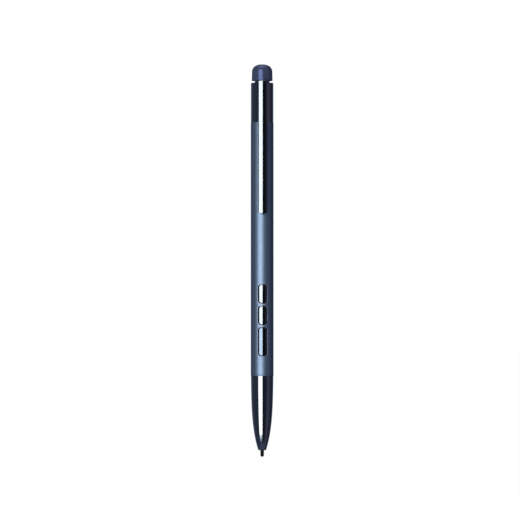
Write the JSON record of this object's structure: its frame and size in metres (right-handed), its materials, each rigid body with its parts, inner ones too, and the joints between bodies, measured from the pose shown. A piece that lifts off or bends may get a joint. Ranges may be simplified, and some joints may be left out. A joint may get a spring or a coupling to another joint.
{
  "type": "active stylus pen",
  "caption": "Slim battery stylus for a drawing tablet, with a pressure-sensing nib, side buttons, a pull-off cap with a sprung clip, and a push button on top.",
  "frame": {"origin": "writing point of the nib, on the pen's axis", "axes": "+Z along the pen from the nib to the top button; the clip and the side buttons face -Y; +X to the right of someone who looks at the clip"},
  "size_m": [0.0094, 0.0116, 0.1633],
  "materials": {
    "anodised_blue": "bead-blasted and anodised blue, satin",
    "gloss_navy": "near-black navy, polished",
    "dark_chrome": "tinted chrome plate, mirror bright",
    "satin_indigo": "soft satin moulding, dark indigo",
    "nib_black": "carbon-filled acetal, black",
    "acetal_white": "moulded acetal, off-white",
    "black_nylon": "moulded nylon, black",
    "brass": "machined brass",
    "spring_steel": "drawn spring steel",
    "nickel_plate": "nickel-plated sheet",
    "silicone": "silicone rubber, grey",
    "nitrile_black": "nitrile rubber, black",
    "polyimide": "polyimide film, amber",
    "solder_mask": "glass-epoxy board, green solder mask",
    "chip_epoxy": "moulded epoxy, black",
    "ferrite": "ferrite, dark grey",
    "ceramic": "fired ceramic, tan",
    "cell_can": "plated can, at the cell's average density",
    "cell_sleeve": "shrink sleeve, plain",
    "wire_red": "insulated hook-up wire, red"
  },
  "bodies": {
    "pen_body": {"barrel": "anodised_blue", "nose_cone": "gloss_navy", "nib_guide": "black_nylon", "tip_electrode": "brass", "nib_spring": "spring_steel", "force_sensor": "nickel_plate", "sensor_pad": "silicone", "sensor_retainer": "black_nylon", "sensor_flex": "polyimide", "chassis": "black_nylon", "main_board": "solder_mask", "board_screws": "spring_steel", "switch_bodies": "nickel_plate", "button_frame": "black_nylon", "processor": "chip_epoxy", "radio_shield": "nickel_plate", "crystal": "nickel_plate", "power_inductor": "ferrite", "chip_antenna": "ceramic", "board_passives": "ceramic", "battery": "cell_can", "battery_sleeve": "cell_sleeve", "battery_contact": "nickel_plate"},
    "nib_carriage": {"nib_holder": "acetal_white"},
    "writing_nib": {"nib": "nib_black"},
    "lower_key": {"side_button_lower": "dark_chrome", "switch_plunger_lower": "nib_black"},
    "middle_key": {"side_button_middle": "dark_chrome", "switch_plunger_middle": "nib_black"},
    "upper_key": {"side_button_upper": "dark_chrome", "switch_plunger_upper": "nib_black"},
    "cap": {"cap_core": "black_nylon", "cap_contact": "nickel_plate", "cap_seal": "nitrile_black", "cap_wires": "wire_red", "battery_spring": "spring_steel", "collar": "gloss_navy", "clip_spring": "spring_steel", "clip_nut": "gloss_navy", "top_switch_body": "nickel_plate", "top_board": "solder_mask"},
    "clip_arm": {"clip": "dark_chrome"},
    "top_key": {"top_button": "satin_indigo", "top_button_carrier": "acetal_white", "top_switch_plunger": "nib_black"}
  },
  "joints": [
    {"name": "nib_press", "type": "slide", "parent": "pen_body", "child": "nib_carriage", "axis": [0, 0, 1], "range_m": [0, 0.0003], "stiffness_N_per_m": 5000, "deforming": ["nib_spring", "sensor_pad"]},
    {"name": "nib_pull", "type": "slide", "parent": "nib_carriage", "child": "writing_nib", "axis": [0, 0, -1], "range_m": [0, 0.016]},
    {"name": "lower_key_press", "type": "slide", "parent": "pen_body", "child": "lower_key", "axis": [0, 1, 0], "range_m": [0, 0.0003], "stiffness_N_per_m": 4000},
    {"name": "middle_key_press", "type": "slide", "parent": "pen_body", "child": "middle_key", "axis": [0, 1, 0], "range_m": [0, 0.0003], "stiffness_N_per_m": 4000},
    {"name": "upper_key_press", "type": "slide", "parent": "pen_body", "child": "upper_key", "axis": [0, 1, 0], "range_m": [0, 0.0003], "stiffness_N_per_m": 4000},
    {"name": "cap_pull", "type": "slide", "parent": "pen_body", "child": "cap", "axis": [0, 0, 1], "range_m": [0, 0.026]},
    {"name": "clip_flex", "type": "hinge", "parent": "cap", "child": "clip_arm", "pos_m": [0, -0.00305, 0.15596], "axis": [-1, 0, 0], "range_deg": [0, 3], "stiffness_Nm_per_rad": 1, "deforming": ["clip_spring"]},
    {"name": "top_key_press", "type": "slide", "parent": "cap", "child": "top_key", "axis": [0, 0, -1], "range_m": [0, 0.00025], "stiffness_N_per_m": 4000}
  ]
}
